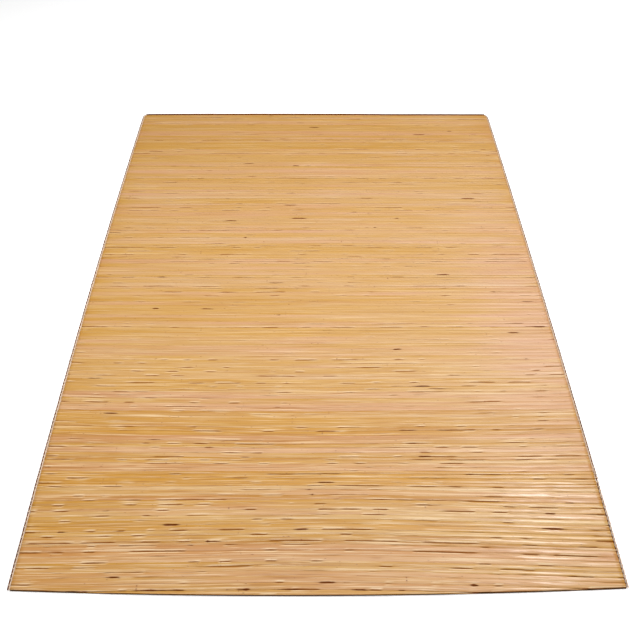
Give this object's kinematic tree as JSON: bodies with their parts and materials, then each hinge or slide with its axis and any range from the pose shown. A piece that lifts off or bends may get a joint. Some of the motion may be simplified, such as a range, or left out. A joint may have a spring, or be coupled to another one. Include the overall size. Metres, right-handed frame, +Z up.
{
  "type": "rattan mat",
  "caption": "Flat rectangular floor mat of half-round split rattan canes laid side by side, with a narrow pale edging down both long sides.",
  "frame": {"origin": "on the floor under the middle of the mat's box", "axes": "+X along the canes, +Y from the near end to the far end, +Z up from the floor"},
  "size_m": [1.2, 1.8, 0.005],
  "materials": {
    "cane": "honey-coloured split rattan skin, glossy, each cane a slightly different tone",
    "binding": "pale beige matt strip bound over the ends of the canes"
  },
  "bodies": {
    "root": {"cane_field": "cane", "edging_left": "binding", "edging_right": "binding"}
  },
  "joints": []
}
